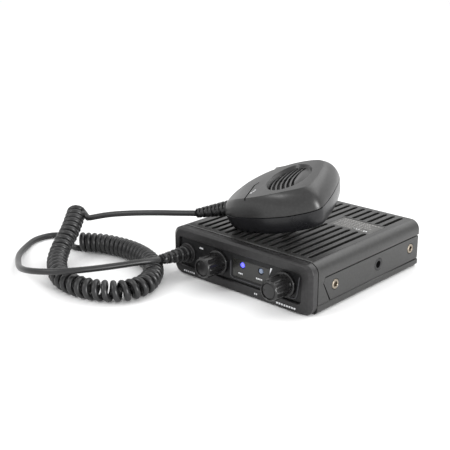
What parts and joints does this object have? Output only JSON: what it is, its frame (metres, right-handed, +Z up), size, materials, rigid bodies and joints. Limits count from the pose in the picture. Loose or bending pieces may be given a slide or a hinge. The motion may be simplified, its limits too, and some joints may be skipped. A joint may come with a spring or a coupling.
{
  "type": "mobile transceiver",
  "caption": "Compact mobile transceiver with slotted cover, two turning knobs, lamps, and a hand microphone on a curly cord.",
  "frame": {"origin": "centre of the case's underside, on the surface it stands on", "axes": "+Z up, front panel towards -Y, +X to the right seen from the front"},
  "size_m": [0.2012, 0.1913, 0.0653],
  "materials": {
    "case_metal": "satin black powder coat",
    "cast_chassis": "as cast",
    "bezel_plastic": "fine spark texture",
    "display_tint": "smoked",
    "lamp_blue": "lit lens",
    "lamp_pale": "frosted lens",
    "label_film": "printed film",
    "board_green": "solder mask",
    "ribbon_grey": "ribbed",
    "plated_steel": "tin plated",
    "black_component": "moulded",
    "speaker_paper": "pressed fibre",
    "nickel": "nickel plated",
    "dark_screw": "black zinc",
    "insulator_white": "plain",
    "contact_brass": "plated",
    "cord_rubber": "satin",
    "knob_plastic": "satin",
    "mic_plastic": "fine spark texture"
  },
  "bodies": {
    "radio": {"top_cover": "case_metal", "bottom_cover": "case_metal", "chassis": "cast_chassis", "front_bezel": "bezel_plastic", "front_panel": "bezel_plastic", "display_plate": "display_tint", "power_lamp": "lamp_blue", "transmit_lamp": "lamp_pale", "label_plate": "label_film", "rear_panel": "case_metal", "main_board": "board_green", "front_board": "board_green", "ribbon_cable": "ribbon_grey", "shield_can": "plated_steel", "power_transistor": "black_component", "capacitors": "black_component", "volume_pot": "plated_steel", "squelch_pot": "plated_steel", "pot_nuts": "plated_steel", "speaker_frame": "plated_steel", "speaker_cone": "speaker_paper", "speaker_magnet": "plated_steel", "antenna_shell": "nickel", "antenna_insulator": "insulator_white", "antenna_contact": "contact_brass", "power_inlet": "black_component", "power_pins": "contact_brass", "speaker_jack": "plated_steel", "bracket_inserts": "dark_screw", "side_screws": "nickel", "base_screws": "dark_screw", "board_screws": "nickel", "gland_ring": "cord_rubber", "cord_gland": "cord_rubber", "cord_lead_radio": "cord_rubber", "cord_coil": "cord_rubber", "cord_lead_mic": "cord_rubber"},
    "volume": {"volume_knob": "knob_plastic", "volume_shaft": "plated_steel"},
    "squelch": {"squelch_knob": "knob_plastic", "squelch_shaft": "plated_steel"},
    "microphone": {"mic_front_shell": "mic_plastic", "mic_back_shell": "mic_plastic", "mic_capsule": "plated_steel", "mic_felt": "speaker_paper", "mic_board": "board_green", "ptt_switch": "black_component", "hanger_stud": "mic_plastic", "hanger_screw": "plated_steel", "mic_screws": "dark_screw", "mic_boot": "cord_rubber"},
    "ptt": {"ptt_button": "mic_plastic"}
  },
  "joints": [
    {"name": "volume_turn", "type": "hinge", "parent": "radio", "child": "volume", "pos_m": [0.032, -0.0497, 0.0141], "axis": [0, 1, 0], "range_deg": [-60, 240]},
    {"name": "squelch_turn", "type": "hinge", "parent": "radio", "child": "squelch", "pos_m": [-0.0152, -0.0497, 0.0141], "axis": [0, 1, 0], "range_deg": [-105, 195]},
    {"name": "mic_lift", "type": "slide", "parent": "radio", "child": "microphone", "axis": [0, 0, 1], "range_m": [0, 0.06]},
    {"name": "ptt_press", "type": "slide", "parent": "microphone", "child": "ptt", "axis": [0.4168, -0.9024, -0.1093], "range_m": [0, 0.0015], "stiffness_N_per_m": 400}
  ]
}
